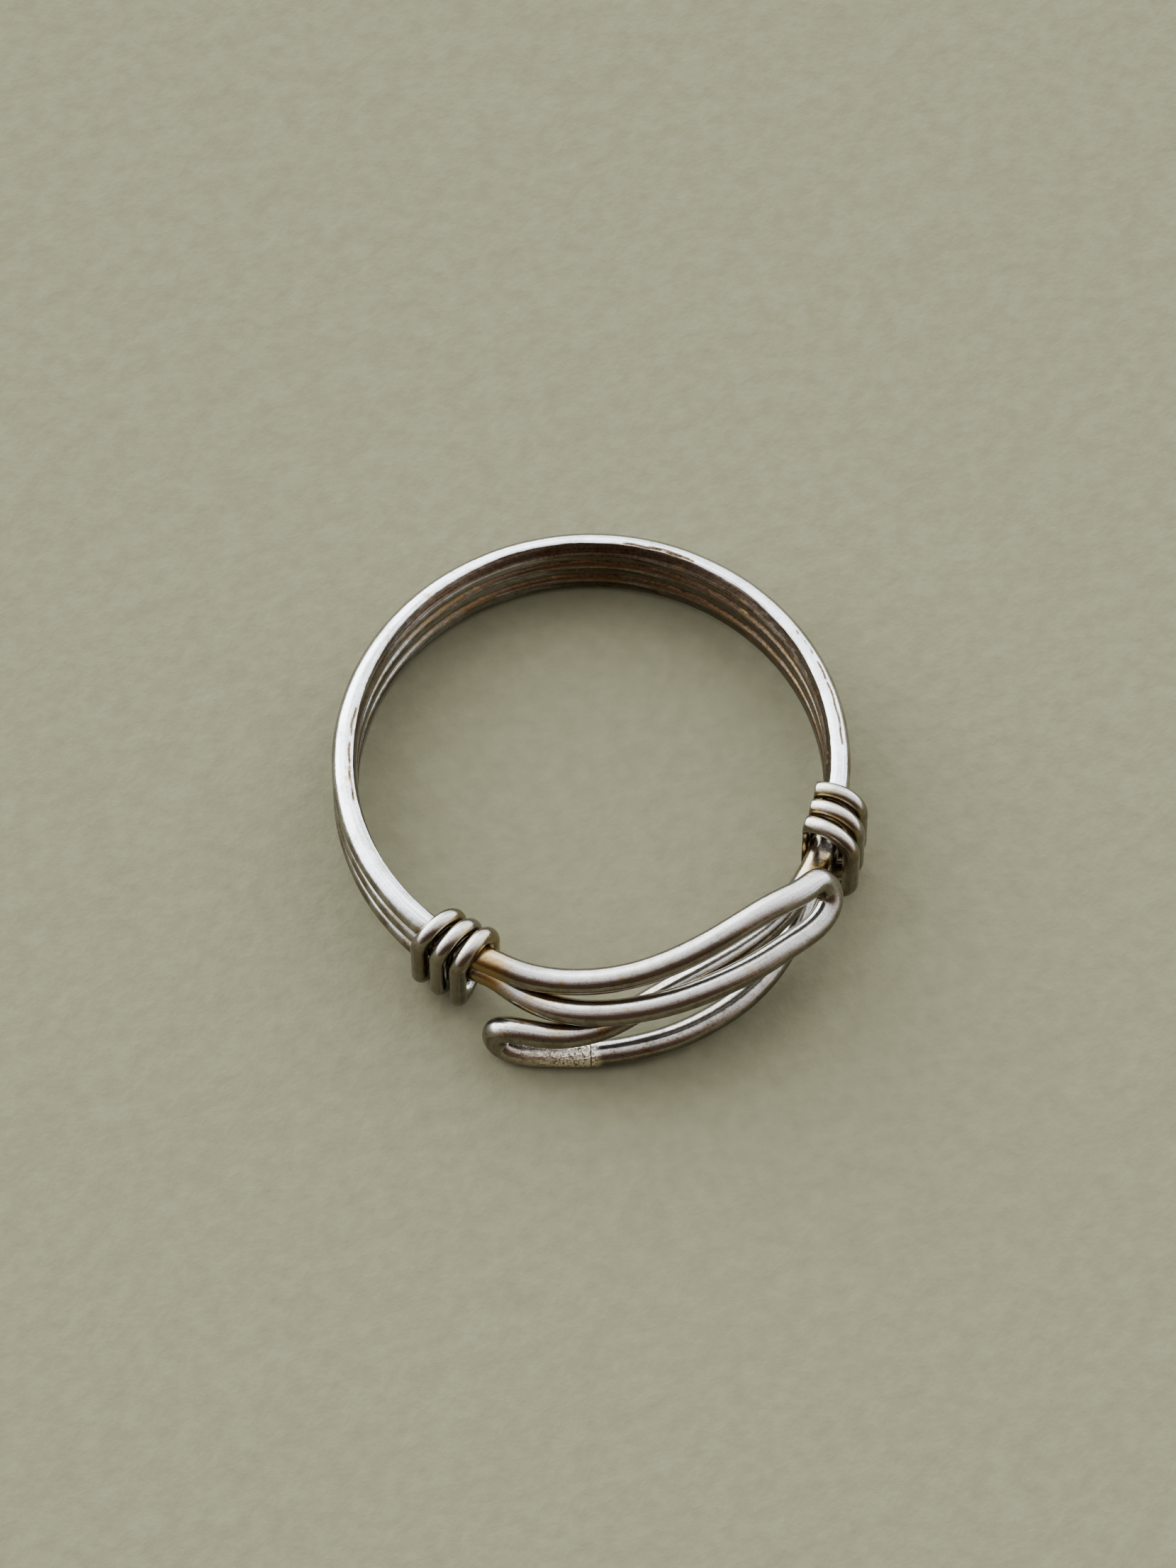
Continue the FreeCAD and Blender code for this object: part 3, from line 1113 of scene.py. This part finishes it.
@dataclass
class Binding:
    """Coil of thinner wire round the wire ends.

    A turn starts in the middle of the underside, climbs the outside, crosses the top
    and comes down the inside.  Its ends are half ellipses round the outer wires.  The
    first and last places are in turns, slack is play round the wires, and the inside
    thickness is what filing has left of the binding wire beyond the shank's inner side.
    """

    measures: RingMeasures
    side: Side
    first: float
    last: float
    first_slack: float = 0.0
    last_slack: float = 0.0
    end_slack: float = 0.0
    inside_thickness: float | None = None
    turns: int = 3
    wire_radius: float = 0.32 * MM
    clearance: float = 0.04 * MM
    turn_gap: float = 0.14 * MM
    top_advance: float = 0.62
    steps: int = 32
    step: float = 0.06 * MM
    sides: int = 40
    unevenness: float = 0.006 * MM
    end_round: float = 0.09 * MM

    @property
    def reach(self) -> float:
        """From the centre of a wire to the centre of the binding wire round it."""
        return self.measures.wire_radius + self.clearance + self.wire_radius

    def line(self) -> np.ndarray:
        """Centre line of the coil.

        Returns:
            Points on the line, one row each.
        """
        ring = self.measures
        pitch = 2 * self.wire_radius + self.turn_gap
        count = round((self.last - self.first) * self.steps)
        points = []
        for done in np.linspace(0.0, 1.0, count + 1):
            turns = self.first + (self.last - self.first) * done
            whole = math.floor(turns)
            outside = self.reach + self.first_slack + (self.last_slack - self.first_slack) * done
            out, height, gained = self._turn_place(turns - whole, outside)
            along = (whole + gained - self.turns / 2) * pitch
            angle = self.side.value * ring.binding_angle + math.degrees(along / ring.shank_radius)
            points.append(ring.place(angle, out, height))
        return smooth_line(np.array(points), self.step)

    def _turn_place(self, share: float, outside: float) -> tuple[float, float, float]:
        """Place of the wire at a share of one turn.

        Args:
            share: Share of the turn that is done.
            outside: Outward offset of the outer straight, in metres.

        Returns:
            Outward offset and height, in metres, and the gained share of the pitch.
        """
        level = self.measures.level
        rise = self.reach + self.end_slack
        middle = (outside - self.reach) / 2
        half_width = (outside + self.reach) / 2
        end_length = math.pi * (half_width + rise) / 2
        side_length = 2 * level
        bottom_advance = (1 - self.top_advance) / 2
        travel = share * 2 * (end_length + side_length)
        if travel < end_length / 2:
            part = travel / end_length
            swing = math.pi * (part - 0.5)
            out, height = middle + half_width * math.cos(swing), rise * math.sin(swing) - level
            return out, height, 2 * part * bottom_advance
        travel -= end_length / 2
        if travel < side_length:
            return outside, travel - level, bottom_advance
        travel -= side_length
        if travel < end_length:
            part = travel / end_length
            swing = math.pi * part
            gained = bottom_advance + self.top_advance * part
            return middle + half_width * math.cos(swing), level + rise * math.sin(swing), gained
        travel -= end_length
        if travel < side_length:
            return -self.reach, level - travel, bottom_advance + self.top_advance
        part = (travel - side_length) / end_length
        swing = math.pi * (1 + part)
        gained = bottom_advance + self.top_advance + 2 * part * bottom_advance
        return middle + half_width * math.cos(swing), rise * math.sin(swing) - level, gained

    def build(self, others: list[Wire], body: Body, finish: DrawnSterling) -> None:
        """Build the coil.

        Args:
            others: The wires that it binds.
            body: Body that it rides on.
            finish: The finish.
        """
        ring = self.measures
        name = self.side.name.lower()
        tube = WireTube(f"{name}_binding_wire", self.line(), self.wire_radius, self.sides,
                        41 + self.side.value, self.unevenness, self.end_round)
        if self.inside_thickness is not None:
            filed_to = ring.shank_radius - ring.wire_radius - self.inside_thickness
            tube.press_outside(filed_to, "filed")
        tube.mark_creases(others, 4 * self.wire_radius)
        tube.mark_mouth(self.side, ring.mouth_angle)
        tube.marks["mouth"] *= smooth_step(tube.marks["shelter"], 0.15, 0.50)
        dress(tube, f"{name}_binding", body, finish)


# ---- studio ---------------------------------------------------------------------


@dataclass
class Studio:
    """Floor, soft daylight and camera."""

    turn: float = 20.5
    elevation: float = 62.0
    distance: float = 280.0 * MM
    focal_length: float = 173.6
    aim: tuple[float, float, float] = (-0.118 * MM, -0.866 * MM, 1.0 * MM)
    floor_front: tuple[float, float] = (-10.5 * MM, -2.64 * MM)
    floor_back: tuple[float, float] = (9.1 * MM, -1.535 * MM)
    floor_size: float = 1.6
    daylight: str = "#DFEAFC"
    shadow_side: str = "#D8B49E"
    window_turn: float = 50.0
    window_lift: float = 22.0
    window_strength: float = 10.5
    near_strength: float = 0.22
    sky_strength: float = 5.5
    far_strength: float = 4.0
    horizon_loss: float = 4.0

    def _axes(self) -> tuple[Vector, Vector, Vector]:
        """Directions of the camera.

        Returns:
            Its right, forward and up.
        """
        turn = math.radians(self.turn)
        lift = math.radians(self.elevation)
        right = Vector((math.cos(turn), -math.sin(turn), 0.0))
        forward = Vector((math.sin(turn) * math.cos(lift), math.cos(turn) * math.cos(lift),
                          -math.sin(lift)))
        return right, forward, right.cross(forward)

    def camera(self) -> None:
        """Set up the camera over the near side of the ring."""
        right, forward, up = self._axes()
        data = bpy.data.cameras.new("camera")
        data.lens = self.focal_length
        data.clip_start = 0.01
        data.clip_end = 20.0
        camera = bpy.data.objects.new("camera", data)
        bpy.context.scene.collection.objects.link(camera)
        target = right * self.aim[0] + up * self.aim[1] + Vector((0.0, 0.0, self.aim[2]))
        rotation = Matrix((right, up, -forward)).transposed()
        place = Matrix.Translation(target - forward * self.distance)
        camera.matrix_world = place @ rotation.to_4x4()
        bpy.context.scene.camera = camera

    def floor(self) -> None:
        """Lay the floor under the ring, which leans a little on its lower loop."""
        (front, front_height), (back, back_height) = self.floor_front, self.floor_back
        slope = (back_height - front_height) / (back - front)
        half = self.floor_size / 2
        corners = [(x, y, front_height + slope * (y - front))
                   for x, y in ((-half, -half), (half, -half), (half, half), (-half, half))]
        mesh = bpy.data.meshes.new("floor")
        mesh.from_pydata(corners, [], [(0, 1, 2, 3)])
        floor = bpy.data.objects.new("floor", mesh)
        bpy.context.scene.collection.objects.link(floor)
        mesh.materials.append(WoolFelt().material())

    def light(self) -> None:
        """Light the ring with soft daylight from a window behind and to the left.

        The sky gives some from above and from far off, and the near side stays dark.
        """
        right, forward, _ = self._axes()
        turn, lift = math.radians(self.window_turn), math.radians(self.window_lift)
        far = Vector((forward.x, forward.y, 0.0)).normalized()
        window = far * math.cos(turn) - right * math.sin(turn)
        window = (window * math.cos(lift) + Vector((0.0, 0.0, math.sin(lift)))).normalized()
        world = bpy.data.worlds.new("daylight")
        bpy.context.scene.world = world
        world.use_nodes = True
        tree = world.node_tree
        way = add_node(tree, "ShaderNodeTexCoord").outputs["Generated"]
        to_far, to_window = (
            add_node(tree, "ShaderNodeVectorMath", {"operation": "DOT_PRODUCT"},
                     {0: way, 1: tuple(aim)}).outputs["Value"] for aim in (far, window))
        strength = self.near_strength
        # Each row is the cosine to a direction, where a change of the light begins and
        # where it is complete, and the change.
        rows = ((to_far, -0.85, 0.15, self.sky_strength - self.near_strength),
                (to_far, 0.10, 0.50, self.far_strength),
                (to_far, 0.60, 1.00, -self.horizon_loss),
                (to_window, 0.55, 1.00, self.window_strength))
        for toward, low, high, change in rows:
            layer = add_node(tree, "ShaderNodeMapRange", {"interpolation_type": "SMOOTHSTEP"},
                             {"Value": toward, "From Min": low, "From Max": high, "To Max": change})
            strength = add_node(tree, "ShaderNodeMath", {"operation": "ADD"},
                                {0: strength, 1: layer})
        share = add_node(tree, "ShaderNodeMapRange", None,
                         {"Value": to_far, "From Min": -0.75, "From Max": -0.30})
        colour = add_node(tree, "ShaderNodeMix", {"data_type": "RGBA"},
                          {0: share, 6: linear(self.shadow_side), 7: linear(self.daylight)})
        background = tree.nodes["Background"]
        tree.links.new(colour.outputs[2], background.inputs["Color"])
        tree.links.new(strength.outputs[0], background.inputs["Strength"])

    def build(self) -> None:
        """Set up the floor, the light and the camera."""
        self.floor()
        self.light()
        self.camera()


# ---- the ring -------------------------------------------------------------------


def main() -> None:
    """Build the dressed ring and its studio."""
    logging.basicConfig(level=logging.INFO, format="%(name)s %(message)s")
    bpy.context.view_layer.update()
    ring = RingMeasures.from_frame()
    shank = Shank(ring)
    upper = UpperLoop(ring)
    lower = LowerLoop(ring)
    left = Binding(ring, Side.LEFT, first=-0.10, last=2.80)
    right = Binding(ring, Side.RIGHT, first=0.08, last=2.85, first_slack=0.42 * MM,
                    last_slack=0.12 * MM, end_slack=0.04 * MM, inside_thickness=0.22 * MM)
    shank_lines = [(shank.line(level), ring.wire_radius) for _, level in shank.levels]
    upper_line = (upper.line(), ring.wire_radius)
    lower_line = (lower.line(), ring.wire_radius)
    coils = [(left.line(), left.wire_radius), (right.line(), right.wire_radius)]

    shank.build(coils, FiledSterling())
    upper.build(coils + [lower_line], DrawnSterling())
    lower.build(coils + [upper_line], SolderedSterling())
    left.build(shank_lines[:2] + [upper_line], Body.LEFT_WRAP, CoiledSterling())
    right.build(shank_lines + [lower_line], Body.RIGHT_WRAP, CoiledSterling())
    Studio().build()


if __name__ == "__main__":
    main()
